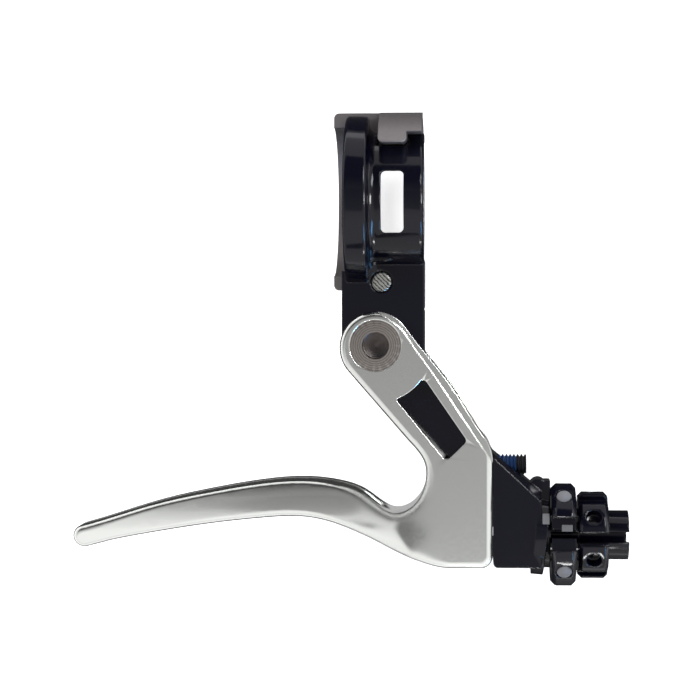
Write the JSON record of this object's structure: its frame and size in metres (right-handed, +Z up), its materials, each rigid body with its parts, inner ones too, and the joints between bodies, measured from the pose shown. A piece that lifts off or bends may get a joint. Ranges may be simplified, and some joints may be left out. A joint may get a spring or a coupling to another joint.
{
  "type": "bicycle brake lever",
  "caption": "Bicycle brake lever with a split bar clamp, forked finger lever on a bearing pivot, reach screw and barrel adjuster for the cable.",
  "frame": {"origin": "centre of the handlebar bore, on the bar's axis and in the plane that splits the clamp", "axes": "+X along the bar from the grip towards the stem, +Y from the lever towards the bar, +Z up through the clamp's body half"},
  "size_m": [0.1044, 0.089, 0.0327],
  "materials": {
    "body_black": "glossy black anodised",
    "cap_grey": "satin grey anodised",
    "lever_silver": "polished, satin",
    "axle_steel": "turned",
    "steel": "bright",
    "bearing_steel": "ground",
    "screw_black": "black oxide"
  },
  "bodies": {
    "body": {"lever_body": "body_black", "clamp_cap": "cap_grey", "clamp_bolt": "steel", "clamp_washer": "steel", "upper_outer_race": "bearing_steel", "upper_balls": "bearing_steel", "upper_shields": "steel", "lower_outer_race": "bearing_steel", "lower_balls": "bearing_steel", "lower_shields": "steel"},
    "lever": {"brake_lever": "lever_silver", "pivot_axle": "axle_steel", "pivot_bolt": "steel", "upper_inner_race": "bearing_steel", "lower_inner_race": "bearing_steel", "bearing_spacer": "steel", "upper_thrust_washer": "steel", "lower_thrust_washer": "steel"},
    "reach": {"reach_screw": "screw_black"},
    "lock": {"lock_ring": "body_black"},
    "adjuster": {"barrel_adjuster": "body_black"}
  },
  "joints": [
    {"name": "lever_pivot", "type": "hinge", "parent": "body", "child": "lever", "pos_m": [-0.0005, -0.0269, 0], "axis": [0, 0, -1], "range_deg": [0, 36]},
    {"name": "reach_screw_turn", "type": "hinge", "parent": "body", "child": "reach", "pos_m": [0.02, -0.0494, 0], "axis": [1, 0, 0], "continuous": true},
    {"name": "lock_ring_turn", "type": "hinge", "parent": "body", "child": "lock", "pos_m": [0.034, -0.0625, 0], "axis": [1, 0, 0], "continuous": true},
    {"name": "adjuster_turn", "type": "hinge", "parent": "body", "child": "adjuster", "pos_m": [0.04, -0.0625, 0], "axis": [1, 0, 0], "continuous": true}
  ]
}
